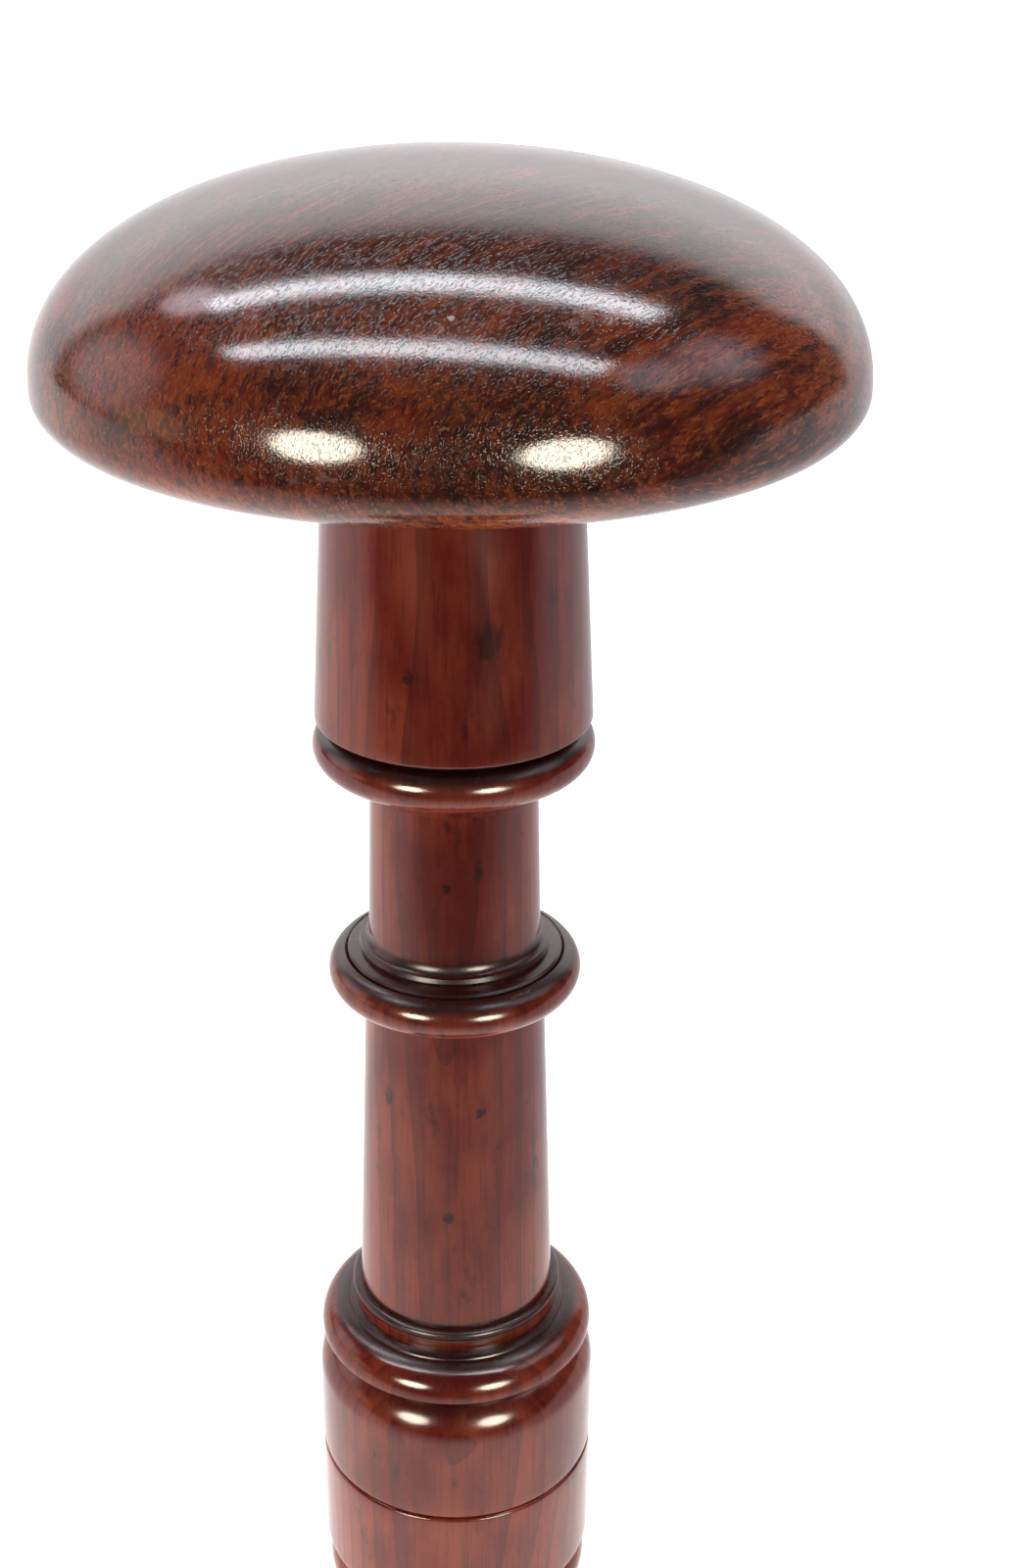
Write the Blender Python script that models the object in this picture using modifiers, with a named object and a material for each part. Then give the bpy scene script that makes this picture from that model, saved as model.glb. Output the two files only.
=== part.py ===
"""Table hat stand.

A domed mahogany cap is glued to a ring-turned fruitwood column. The column parts at the
seam round its drum: a plain spigot under the upper half drops into a socket in the lower
half. The lower half is tenoned and wedged into a moulded round base with a baize pad.

Metres, +Z up. The origin is the centre of the resting face, and the turning axis is Z.
"""
import math

import bmesh
import bpy

# Driving dimensions. Depths are measured down from the cap's widest line.
CAP_LEVEL = 0.3080
CAP_RADIUS = 0.0575
CAP_RISE = 0.0294
CAP_DROP = 0.0071
CAP_EDGE_WIDTH = 0.0115
DOME_FULLNESS = 2.06
DOME_CROWN = 2.20

COLLAR_TOP_RADIUS = 0.0184
COLLAR_FOOT_RADIUS = 0.0208
COLLAR_FOOT_DEPTH = 0.0514
UPPER_BEAD_DEPTH = 0.0556
UPPER_BEAD_RADIUS = 0.0212
UPPER_BEAD_ROUND = 0.0034
NECK_TOP_RADIUS = 0.0128
NECK_FOOT_RADIUS = 0.0134
NECK_FOOT_DEPTH = 0.0868
MIDDLE_RING_DEPTH = 0.0941
MIDDLE_RING_RADIUS = 0.0198
MIDDLE_RING_ROUND = 0.0034
SHAFT_TOP_RADIUS = 0.0141
SHAFT_FOOT_RADIUS = 0.0161
SHAFT_FOOT_DEPTH = 0.1538
DRUM_RIM_RADIUS = 0.0229
DRUM_RIM_DEPTH = 0.1631
DRUM_RADIUS = 0.0234
SHOULDER_DEPTH = 0.1720
SHOULDER_ROUND = 0.0080
SEAM_DEPTH = 0.1877
DRUM_FOOT_DEPTH = 0.2092
LOWER_SHAFT_TOP_RADIUS = 0.0160
LOWER_SHAFT_TOP_DEPTH = 0.2225
LOWER_SHAFT_FOOT_RADIUS = 0.0178
LOWER_SHAFT_FOOT_DEPTH = 0.2570
LOWER_RING_DEPTH = 0.2604
LOWER_RING_RADIUS = 0.0228
LOWER_RING_ROUND = 0.0034
WAIST_RADIUS = 0.0178
WAIST_DEPTH = 0.2654
FOOT_RADIUS = 0.0276
FOOT_DEPTH = 0.2820

BASE_RADIUS = 0.0650
BASE_BOTTOM_DEPTH = 0.3067
BASE_EDGE_ROUND = 0.0054
PAD_RADIUS = 0.0600
PAD_THICKNESS = 0.0010

CAP_TENON_RADIUS = 0.0090
CAP_TENON_LENGTH = 0.0180
SPIGOT_RADIUS = 0.0110
SPIGOT_LENGTH = 0.0240
BASE_TENON_RADIUS = 0.0110
BASE_TENON_LENGTH = 0.0222
WEDGE_LENGTH = 0.0200
WEDGE_HEIGHT = 0.0150
WEDGE_THICK_END = 0.0026
WEDGE_THIN_END = 0.0010

GAP = 0.0003
ARRIS = 0.0006
TURN_STEPS = 40
MERGE = 0.00001


def level(depth):
    """Height above the resting face of a depth below the cap's widest line."""
    return CAP_LEVEL - depth


def arc(radius, height, half_width, half_height, start, end, segments):
    """Points on an oval arc about (radius, height), from start to end in degrees."""
    points = []
    for step in range(segments + 1):
        angle = math.radians(start + (end - start) * step / segments)
        points.append((radius + half_width * math.cos(angle), height + half_height * math.sin(angle)))
    return points


def round_arc(radius, height, size, start, end, segments):
    """Points on a circular arc about (radius, height)."""
    return arc(radius, height, size, size, start, end, segments)


def rounded_foot(radius, height):
    """The small rounding at the lower edge of a face of this radius that ends at this height."""
    return round_arc(radius - ARRIS, height + ARRIS, ARRIS, 0, -90, 2)


def rounded_head(radius, height):
    """The small rounding at the upper edge of a face of this radius that starts at this height."""
    return round_arc(radius - ARRIS, height - ARRIS, ARRIS, 90, 0, 2)


def make_collections():
    """Return the collection for the stand's pieces and the one for its cutters."""
    pieces = bpy.data.collections.new("hat_stand")
    cutters = bpy.data.collections.new("cutters")
    bpy.context.scene.collection.children.link(pieces)
    bpy.context.scene.collection.children.link(cutters)
    return pieces, cutters


def make_material(name, color, roughness):
    """A plain dielectric surface."""
    material = bpy.data.materials.new(name)
    material.use_nodes = True
    shader = material.node_tree.nodes["Principled BSDF"]
    shader.inputs["Base Color"].default_value = (*color, 1.0)
    shader.inputs["Roughness"].default_value = roughness
    shader.inputs["Metallic"].default_value = 0.0
    return material


def turn(name, outline, material, collection):
    """Turn an outline of (radius, height) points, listed from top to bottom, about Z."""
    mesh = bpy.data.meshes.new(name)
    points = [(radius, 0.0, height) for radius, height in outline]
    edges = [(index, index + 1) for index in range(len(points) - 1)]
    mesh.from_pydata(points, edges, [])
    mesh.materials.append(material)
    piece = bpy.data.objects.new(name, mesh)
    collection.objects.link(piece)
    screw = piece.modifiers.new("Turn", "SCREW")
    screw.axis = "Z"
    screw.angle = math.tau
    screw.steps = TURN_STEPS
    screw.render_steps = TURN_STEPS
    screw.use_smooth_shade = True
    screw.use_merge_vertices = True
    screw.merge_threshold = MERGE
    return piece


def cap_outline():
    """Dome, rounded edge, flat underside and blind socket."""
    dome = []
    dome_segments = 13
    for step in range(dome_segments):
        share = math.sin(math.pi / 2 * step / dome_segments)
        rise = CAP_RISE * (1 - share ** DOME_FULLNESS) ** (1 / DOME_CROWN)
        dome.append((CAP_RADIUS * share, level(0) + rise))
    edge = arc(CAP_RADIUS - CAP_EDGE_WIDTH, level(0), CAP_EDGE_WIDTH, CAP_DROP, 0, -90, 6)
    socket_radius = CAP_TENON_RADIUS + GAP
    socket_top = level(CAP_DROP) + CAP_TENON_LENGTH + GAP
    socket = [
        (socket_radius, level(CAP_DROP)),
        (socket_radius, socket_top),
        (0.0, socket_top),
    ]
    return dome + edge + socket


def collar_outline():
    """Tenon for the cap, flaring collar and the bead below it."""
    shoulder = level(CAP_DROP) - GAP
    bead_centre = UPPER_BEAD_RADIUS - UPPER_BEAD_ROUND
    bead_foot = level(UPPER_BEAD_DEPTH + UPPER_BEAD_ROUND)
    quirk_radius = 0.0184
    quirk_floor = level(0.0523)
    fillet_radius = 0.0142
    fillet_foot = level(0.0620)
    return [
        (0.0, shoulder + CAP_TENON_LENGTH),
        (CAP_TENON_RADIUS, shoulder + CAP_TENON_LENGTH),
        (CAP_TENON_RADIUS, shoulder),
        (COLLAR_TOP_RADIUS, shoulder),
        *rounded_foot(COLLAR_FOOT_RADIUS, level(COLLAR_FOOT_DEPTH)),
        (quirk_radius, level(COLLAR_FOOT_DEPTH)),
        (quirk_radius, quirk_floor),
        *round_arc(bead_centre, level(UPPER_BEAD_DEPTH), UPPER_BEAD_ROUND, 70, -90, 8),
        (fillet_radius, bead_foot),
        (fillet_radius, fillet_foot),
        (NECK_TOP_RADIUS, fillet_foot - ARRIS),
    ]


def middle_ring_outline():
    """Cove, two fine steps and the ring half way down the column."""
    ring_centre = MIDDLE_RING_RADIUS - MIDDLE_RING_ROUND
    ring_level = level(MIDDLE_RING_DEPTH)
    cove_top = level(NECK_FOOT_DEPTH)
    upper_step_radius = 0.0147
    upper_step = level(0.0888)
    lower_step_radius = 0.0168
    lower_step = level(0.0904)
    quirk_floor = level(0.0912)
    swell = 0.0003
    return [
        *arc(upper_step_radius, cove_top, upper_step_radius - NECK_FOOT_RADIUS, cove_top - upper_step,
             180, 270, 3),
        (upper_step_radius + swell, upper_step - 2 * swell),
        (upper_step_radius, lower_step + swell),
        (lower_step_radius - swell, lower_step),
        (lower_step_radius, lower_step - swell),
        (lower_step_radius, quirk_floor),
        *round_arc(ring_centre, ring_level, MIDDLE_RING_ROUND, 75, -90, 8),
    ]


def drum_rim_outline():
    """Roll, fillet and quarter round that end in the rim on top of the drum."""
    rim_level = level(DRUM_RIM_DEPTH)
    quarter_round = 0.0046
    roll_size = 0.0009
    roll_radius = 0.0166
    roll_level = level(SHAFT_FOOT_DEPTH) - roll_size
    quirk_radius = 0.0170
    quirk_floor = level(0.1580)
    fillet_radius = 0.0182
    fillet_level = level(0.1583)
    rim_face = 0.0004
    return [
        (SHAFT_FOOT_RADIUS, level(SHAFT_FOOT_DEPTH)),
        *round_arc(roll_radius, roll_level, roll_size, 90, -60, 4),
        (quirk_radius, quirk_floor),
        (fillet_radius, fillet_level),
        *round_arc(DRUM_RIM_RADIUS - quarter_round, rim_level, quarter_round, 90, 0, 7),
        (DRUM_RIM_RADIUS, rim_level - rim_face),
    ]


def upper_drum_outline():
    """Round shoulder and straight side of the drum, down to the seam, then the spigot."""
    seam = level(SEAM_DEPTH)
    spigot_foot = seam - SPIGOT_LENGTH
    return [
        *round_arc(DRUM_RADIUS - SHOULDER_ROUND, level(SHOULDER_DEPTH), SHOULDER_ROUND, 58, 0, 6),
        *rounded_foot(DRUM_RADIUS, seam),
        (SPIGOT_RADIUS, seam),
        (SPIGOT_RADIUS, spigot_foot + ARRIS),
        (SPIGOT_RADIUS - ARRIS, spigot_foot),
        (0.0, spigot_foot),
    ]


def upper_column_outline():
    """The upper half of the column, from its cap tenon to its spigot."""
    return [
        *collar_outline(),
        *middle_ring_outline(),
        (SHAFT_TOP_RADIUS, level(MIDDLE_RING_DEPTH + MIDDLE_RING_ROUND)),
        *drum_rim_outline(),
        *upper_drum_outline(),
    ]


def lower_column_outline():
    """The lower half of the drum with its socket, a bead, a shaft, a ring, a waist and the base tenon."""
    top = level(SEAM_DEPTH) - GAP
    socket_radius = SPIGOT_RADIUS + GAP
    socket_floor = level(SEAM_DEPTH) - SPIGOT_LENGTH - GAP
    quirk_radius = 0.0198
    bead_round = 0.0052
    bead_centre = 0.0177
    bead_level = level(0.2152)
    fillet_width = 0.0010
    shaft_top = level(LOWER_SHAFT_TOP_DEPTH)
    shaft_foot = level(LOWER_SHAFT_FOOT_DEPTH)
    ring_centre = LOWER_RING_RADIUS - LOWER_RING_ROUND
    ring_foot = level(LOWER_RING_DEPTH + LOWER_RING_ROUND)
    waist = level(WAIST_DEPTH)
    foot = level(FOOT_DEPTH)
    foot_fillet_radius = FOOT_RADIUS - fillet_width
    foot_fillet = foot + 0.0016
    return [
        (0.0, socket_floor),
        (socket_radius, socket_floor),
        (socket_radius, top - ARRIS),
        (socket_radius + ARRIS, top),
        *rounded_head(DRUM_RADIUS, top),
        *rounded_foot(DRUM_RADIUS, level(DRUM_FOOT_DEPTH)),
        (quirk_radius, level(DRUM_FOOT_DEPTH)),
        *round_arc(bead_centre, bead_level, bead_round, 65, -90, 7),
        (LOWER_SHAFT_TOP_RADIUS + fillet_width, bead_level - bead_round),
        (LOWER_SHAFT_TOP_RADIUS + fillet_width, shaft_top + ARRIS),
        (LOWER_SHAFT_TOP_RADIUS, shaft_top),
        (LOWER_SHAFT_FOOT_RADIUS, shaft_foot),
        *round_arc(ring_centre, level(LOWER_RING_DEPTH), LOWER_RING_ROUND, 90, -90, 8),
        (WAIST_RADIUS + fillet_width, ring_foot),
        (WAIST_RADIUS + fillet_width, waist + ARRIS),
        *arc(foot_fillet_radius, waist, foot_fillet_radius - WAIST_RADIUS, waist - foot_fillet, 180, 270, 8),
        (FOOT_RADIUS, foot_fillet),
        (FOOT_RADIUS, foot),
        (BASE_TENON_RADIUS, foot),
        (BASE_TENON_RADIUS, foot - BASE_TENON_LENGTH + ARRIS),
        (BASE_TENON_RADIUS - ARRIS, foot - BASE_TENON_LENGTH),
        (0.0, foot - BASE_TENON_LENGTH),
    ]


def base_outline():
    """Round base with a hollow moulding, a fillet and a half-round edge, bored for the tenon."""
    top = level(FOOT_DEPTH) - GAP
    bottom = level(BASE_BOTTOM_DEPTH)
    bore = BASE_TENON_RADIUS + GAP
    table_radius = 0.0300
    hollow_top = top - 0.0012
    hollow_foot = top - 0.0090
    fillet_radius = BASE_RADIUS - 0.0102
    edge_top = hollow_foot - 0.0014
    edge_level = edge_top - BASE_EDGE_ROUND
    plinth_radius = BASE_RADIUS - 0.0032
    return [
        (bore, bottom),
        (bore, top),
        (table_radius, top),
        *arc(fillet_radius - ARRIS, hollow_top, fillet_radius - ARRIS - table_radius, hollow_top - hollow_foot,
             180, 270, 7),
        (fillet_radius, hollow_foot - ARRIS),
        (fillet_radius, edge_top),
        *round_arc(BASE_RADIUS - BASE_EDGE_ROUND, edge_level, BASE_EDGE_ROUND, 90, -80, 9),
        (plinth_radius, edge_level - BASE_EDGE_ROUND),
        (plinth_radius, bottom),
        (bore, bottom),
    ]


def pad_outline():
    """Baize disc under the base."""
    return [
        (0.0, PAD_THICKNESS),
        (PAD_RADIUS, PAD_THICKNESS),
        (PAD_RADIUS, 0.0),
        (0.0, 0.0),
    ]


def wedge(name, length, height, thick_end, thin_end, bottom):
    """A wedge along X, thick at the bottom, standing on the given height."""
    mesh = bpy.data.meshes.new(name)
    shape = bmesh.new()
    bmesh.ops.create_cube(shape, size=1.0)
    for vertex in shape.verts:
        thickness = thin_end if vertex.co.z > 0 else thick_end
        vertex.co.x *= length
        vertex.co.y *= thickness
        vertex.co.z = bottom + (vertex.co.z + 0.5) * height
    shape.to_mesh(mesh)
    shape.free()
    return bpy.data.objects.new(name, mesh)


def make_wedge(material, collection):
    """The hardwood wedge that spreads the base tenon from below."""
    bottom = level(FOOT_DEPTH) - BASE_TENON_LENGTH
    piece = wedge("base_wedge", WEDGE_LENGTH, WEDGE_HEIGHT, WEDGE_THICK_END, WEDGE_THIN_END, bottom)
    piece.data.materials.append(material)
    collection.objects.link(piece)


def cut_kerf(piece, collection):
    """Saw the wedge's kerf into the end of the base tenon."""
    end = level(FOOT_DEPTH) - BASE_TENON_LENGTH
    overrun = 0.0010
    kerf = wedge("kerf_cutter", 3 * BASE_TENON_RADIUS, WEDGE_HEIGHT + overrun + GAP,
                 WEDGE_THICK_END + 2 * GAP, WEDGE_THIN_END + 2 * GAP, end - overrun)
    kerf.hide_render = True
    kerf.display_type = "WIRE"
    collection.objects.link(kerf)
    cut = piece.modifiers.new("Kerf", "BOOLEAN")
    cut.operation = "DIFFERENCE"
    cut.object = kerf
    cut.solver = "EXACT"


def main():
    for item in list(bpy.data.objects):
        bpy.data.objects.remove(item)
    pieces, cutters = make_collections()
    mahogany = make_material("cap_mahogany", (0.105, 0.027, 0.014), 0.16)
    upper_wood = make_material("upper_column_fruitwood", (0.200, 0.036, 0.014), 0.20)
    lower_wood = make_material("lower_column_fruitwood", (0.190, 0.040, 0.018), 0.20)
    base_wood = make_material("base_mahogany", (0.110, 0.029, 0.015), 0.20)
    wedge_wood = make_material("wedge_wood", (0.330, 0.190, 0.095), 0.55)
    baize = make_material("pad_baize", (0.020, 0.085, 0.035), 0.95)

    turn("cap", cap_outline(), mahogany, pieces)
    turn("upper_column", upper_column_outline(), upper_wood, pieces)
    lower = turn("lower_column", lower_column_outline(), lower_wood, pieces)
    cut_kerf(lower, cutters)
    turn("base", base_outline(), base_wood, pieces)
    make_wedge(wedge_wood, pieces)
    turn("baize_pad", pad_outline(), baize, pieces)


main()
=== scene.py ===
"""Looks for the table hat stand: finely turned surfaces over the CAD pieces and their finishes."""
import math

import bpy
from mathutils import Matrix, Vector


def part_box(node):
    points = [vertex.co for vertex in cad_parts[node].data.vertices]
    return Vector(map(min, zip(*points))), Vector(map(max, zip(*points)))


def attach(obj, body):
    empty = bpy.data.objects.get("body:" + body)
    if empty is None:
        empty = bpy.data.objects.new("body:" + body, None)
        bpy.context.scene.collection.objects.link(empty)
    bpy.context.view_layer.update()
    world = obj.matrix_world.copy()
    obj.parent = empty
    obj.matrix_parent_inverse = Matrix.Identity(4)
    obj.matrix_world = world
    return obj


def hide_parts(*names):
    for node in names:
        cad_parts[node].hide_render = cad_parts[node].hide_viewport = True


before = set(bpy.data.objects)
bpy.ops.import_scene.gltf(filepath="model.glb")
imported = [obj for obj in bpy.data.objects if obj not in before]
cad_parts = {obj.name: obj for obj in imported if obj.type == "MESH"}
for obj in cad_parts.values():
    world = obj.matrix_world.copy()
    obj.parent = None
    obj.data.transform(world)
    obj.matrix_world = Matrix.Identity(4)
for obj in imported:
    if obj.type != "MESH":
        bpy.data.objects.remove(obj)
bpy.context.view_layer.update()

# The outlines below are those of the CAD pieces, turned more finely. Heights hang from the CAD boxes.
cap_low, cap_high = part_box("cap")
CAP_RADIUS = cap_high.x
CAP_DROP = 0.0071
CAP_LEVEL = cap_low.z + CAP_DROP
CAP_RISE = cap_high.z - CAP_LEVEL
CAP_EDGE_WIDTH = 0.0115
DOME_FULLNESS = 2.06
DOME_CROWN = 2.20

COLLAR_TOP_RADIUS = 0.0184
COLLAR_FOOT_RADIUS = 0.0208
COLLAR_FOOT_DEPTH = 0.0514
UPPER_BEAD_DEPTH = 0.0556
UPPER_BEAD_RADIUS = 0.0212
UPPER_BEAD_ROUND = 0.0034
NECK_TOP_RADIUS = 0.0128
NECK_FOOT_RADIUS = 0.0134
NECK_FOOT_DEPTH = 0.0868
MIDDLE_RING_DEPTH = 0.0941
MIDDLE_RING_RADIUS = 0.0198
MIDDLE_RING_ROUND = 0.0034
SHAFT_TOP_RADIUS = 0.0141
SHAFT_FOOT_RADIUS = 0.0161
SHAFT_FOOT_DEPTH = 0.1538
DRUM_RIM_RADIUS = 0.0229
DRUM_RIM_DEPTH = 0.1631
DRUM_RADIUS = 0.0234
SHOULDER_DEPTH = 0.1720
SHOULDER_ROUND = 0.0080
SEAM_DEPTH = 0.1877
DRUM_FOOT_DEPTH = 0.2092
LOWER_SHAFT_TOP_RADIUS = 0.0160
LOWER_SHAFT_TOP_DEPTH = 0.2225
LOWER_SHAFT_FOOT_RADIUS = 0.0178
LOWER_SHAFT_FOOT_DEPTH = 0.2570
LOWER_RING_DEPTH = 0.2604
LOWER_RING_RADIUS = 0.0228
LOWER_RING_ROUND = 0.0034
WAIST_RADIUS = 0.0178
WAIST_DEPTH = 0.2654
FOOT_RADIUS = 0.0276
FOOT_DEPTH = 0.2820
BASE_RADIUS = 0.0650
BASE_BOTTOM_DEPTH = 0.3067
BASE_EDGE_ROUND = 0.0054
CAP_TENON_RADIUS = 0.0090
CAP_TENON_LENGTH = 0.0180
SPIGOT_RADIUS = 0.0110
SPIGOT_LENGTH = 0.0240
BASE_TENON_RADIUS = 0.0110
BASE_TENON_LENGTH = 0.0222
GAP = 0.0003
ARRIS = 0.0006

# Camera: it stands in front of the cap and looks down at the column.
CAMERA_DISTANCE = 0.2801
CAMERA_RISE = 0.0680
CAMERA_LENS = 46.85
CAMERA_PITCH = math.radians(25.08)
CAMERA_ROLL = math.radians(0.50)
CAMERA_YAW = math.radians(1.76)

# Fineness of the turned surfaces: steps round the axis and the longest step along an outline.
WIDE_STEPS = 256
COLUMN_STEPS = 192
CAP_SPLIT = 0.0012
SPLIT = 0.0015
SHARP_ANGLE = math.radians(24)

# Colours and marks of the woods.
MAHOGANY_DARK = (0.100, 0.0170, 0.0075)
MAHOGANY_RED = (0.350, 0.0350, 0.0090)
MAHOGANY_AMBER = (0.560, 0.1050, 0.0160)
MAHOGANY_ORANGE = (0.620, 0.1600, 0.0420)
MAHOGANY_PORE = (0.0130, 0.0045, 0.0040)
MAHOGANY_STREAK = (0.036, 0.0085, 0.0055)
# Painted shade: the top of the cap is darkened towards this colour.
MAHOGANY_PAINTED_TOP_SHADE = (0.060, 0.0160, 0.0085)
FRUITWOOD_DARK = (0.110, 0.0080, 0.0045)
FRUITWOOD_RED = (0.290, 0.0185, 0.0070)
FRUITWOOD_ORANGE = (0.500, 0.0780, 0.0250)
# Dark of the smudges (dirt) and of the mouldings (dark wax, and painted shade).
FRUITWOOD_GRIME_AND_SHADE = (0.0180, 0.0060, 0.0050)
WORN_PINK = (0.420, 0.1900, 0.1500)
WORN_ORANGE = (0.620, 0.2200, 0.0700)
DARK_MARK = (0.0120, 0.0060, 0.0060)
PALE_SPECK = (0.800, 0.7500, 0.7000)
POLISH_IOR = 1.50
RING_WIDTH = 0.0027
GRIME_AND_SHADE_FADE = 0.0004

# Marks: place from the turning axis and the cap's widest line, size, stretch, colour, share.
CAP_MARKS = (
    ((-0.0143, -0.0557, 0.0012), 0.0022, (1.0, 1.0, 2.6), WORN_PINK, 0.8),
    ((-0.0184, -0.0545, 0.0006), 0.0015, (1.0, 1.0, 2.4), WORN_PINK, 0.7),
    ((-0.0009, -0.0562, 0.0072), 0.0009, (1.0, 1.0, 1.0), WORN_ORANGE, 1.0),
    ((0.0152, -0.0450, 0.0177), 0.0020, (1.0, 1.5, 1.5), WORN_PINK, 0.8),
    ((0.0180, -0.0451, 0.0168), 0.0022, (1.2, 1.8, 1.8), WORN_PINK, 0.7),
    ((0.0138, -0.0465, 0.0169), 0.0017, (1.0, 1.5, 1.5), WORN_PINK, 0.7),
    ((-0.0182, -0.0499, 0.0125), 0.0018, (1.0, 1.0, 3.6), WORN_PINK, 0.5),
    ((-0.0199, -0.0520, 0.0082), 0.0026, (4.5, 1.0, 1.0), WORN_PINK, 0.5),
    ((-0.0002, -0.0476, 0.0176), 0.0007, (1.0, 1.0, 1.0), PALE_SPECK, 1.0),
    ((0.0322, -0.0430, 0.0116), 0.0042, (1.0, 1.6, 1.6), WORN_PINK, 0.35),
    ((0.0381, -0.0430, -0.0008), 0.0016, (1.0, 1.0, 1.6), DARK_MARK, 0.8),
    ((-0.0393, -0.0402, -0.0033), 0.0018, (1.0, 1.0, 1.4), DARK_MARK, 0.8),
)
COLUMN_MARKS = (
    ((0.0049, -0.0189, -0.0328), 0.0032, (1.0, 1.0, 0.6), DARK_MARK, 0.55),
    ((-0.0062, -0.0189, -0.0380), 0.0015, (1.0, 1.0, 0.7), DARK_MARK, 0.7),
    ((-0.0012, -0.0131, -0.0741), 0.0012, (1.0, 1.0, 0.8), DARK_MARK, 0.8),
    ((-0.0103, -0.0101, -0.1123), 0.0017, (1.0, 1.0, 0.6), DARK_MARK, 0.75),
    ((0.0038, -0.0140, -0.1130), 0.0013, (1.0, 1.0, 0.8), DARK_MARK, 0.75),
    ((-0.0011, -0.0151, -0.1322), 0.0015, (1.0, 1.0, 0.7), DARK_MARK, 0.75),
)
# Spans of depth below the cap's widest line darkened in the mouldings: dark wax in the hollows, and painted
# shade on the upper faces and quirks that lie in shade.
COLUMN_GRIME_AND_SHADE = (
    (0.0511, 0.0538),
    (0.0589, 0.0604),
    (0.0872, 0.0920),
    (0.0974, 0.0982),
    (0.1530, 0.1556),
    (0.1576, 0.1592),
    (0.1638, 0.1660),
)
# Darkened spans of the lower column's mouldings: dark wax, and painted shade.
LOWER_GRIME_AND_SHADE = ((0.2092, 0.2112), (0.2202, 0.2226), (0.2564, 0.2574), (0.2636, 0.2656))

# Room, floor and lamps. The mirrored floor is what the polish and the undersides see.
CAP_CENTRE = Vector((0.0, 0.0, CAP_LEVEL))
ROOM_COLOUR = (0.10, 0.10, 0.11)
BACKDROP_COLOUR = (1.15, 1.13, 1.16)
BACKDROP_UPPER = (1.85, 1.83, 1.86)
MIRRORED_FLOOR_NEAR = (1.6, 1.55, 1.50)
FLOOR_GLOW = 0.92
MIRRORED_FLOOR_LEFT = (1.25, 1.22, 1.22)
MIRRORED_FLOOR_RIGHT = (0.85, 0.86, 0.90)
STRIP_COLOUR = (0.90, 0.94, 1.0)
LAMP_COLOUR = (1.0, 0.93, 0.76)
# Bright parts of the room: direction, inner and outer half angle, colour.
ROOM_GLOWS = (
    ((-0.90, 0.25, 0.28), 6.0, 22.0, (1.9, 1.55, 1.62)),
    ((-0.56, 0.45, 0.70), 3.0, 7.0, (5.0, 4.4, 5.0)),
    ((-0.97, -0.10, 0.02), 3.0, 16.0, (1.6, 1.2, 0.8)),
    ((0.78, 0.05, 0.60), 4.0, 16.0, (1.9, 1.7, 1.9)),
    ((0.68, -0.24, 0.70), 4.0, 12.0, (2.2, 2.1, 2.3)),
)
# Strips hang over the cap; each runs between two places measured from the cap's centre.
STRIPS = (
    ("strip_back", (-0.74, 0.46, 1.0), (0.62, 0.27, 1.0), 0.14, 16.0),
    ("strip_front", (-0.90, -0.07, 1.0), (0.62, -0.38, 1.0), 0.15, 18.0),
)
LAMPS = (("lamp_left", (-0.56, -0.82, 0.15)), ("lamp_right", (0.47, -0.88, 0.09)))
LAMP_DISTANCE = 1.3
LAMP_WIDTH = 0.52
LAMP_HEIGHT = 0.46
LAMP_RADIANCE = 24.0
SUN_DIRECTION = (-0.06, -0.04, 1.0)
SUN_STRENGTH = 0.8
SUN_COLOUR = (1.0, 1.0, 1.0)
SUN_SOFTNESS = 30.0


def level(depth):
    """Height of a depth below the cap's widest line."""
    return CAP_LEVEL - depth


def arc(radius, height, half_width, half_height, start, end, segments):
    """Points on an oval arc about (radius, height), from start to end in degrees."""
    points = []
    for step in range(segments + 1):
        angle = math.radians(start + (end - start) * step / segments)
        points.append((radius + half_width * math.cos(angle), height + half_height * math.sin(angle)))
    return points


def round_arc(radius, height, size, start, end, segments):
    """Points on a circular arc about (radius, height)."""
    return arc(radius, height, size, size, start, end, segments)


def rounded_foot(radius, height):
    """The small rounding at the lower edge of a face."""
    return round_arc(radius - ARRIS, height + ARRIS, ARRIS, 0, -90, 6)


def rounded_head(radius, height):
    """The small rounding at the upper edge of a face."""
    return round_arc(radius - ARRIS, height - ARRIS, ARRIS, 90, 0, 6)


def cap_outline():
    """Dome, rounded edge, flat underside and blind socket."""
    dome = []
    dome_segments = 72
    for step in range(dome_segments):
        share = math.sin(math.pi / 2 * step / dome_segments)
        rise = CAP_RISE * (1 - share ** DOME_FULLNESS) ** (1 / DOME_CROWN)
        dome.append((CAP_RADIUS * share, CAP_LEVEL + rise))
    edge = arc(CAP_RADIUS - CAP_EDGE_WIDTH, CAP_LEVEL, CAP_EDGE_WIDTH, CAP_DROP, 0, -90, 24)
    socket_radius = CAP_TENON_RADIUS + GAP
    socket_top = level(CAP_DROP) + CAP_TENON_LENGTH + GAP
    return dome + edge + [
        (socket_radius, level(CAP_DROP)),
        (socket_radius, socket_top),
        (0.0, socket_top),
    ]


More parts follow.
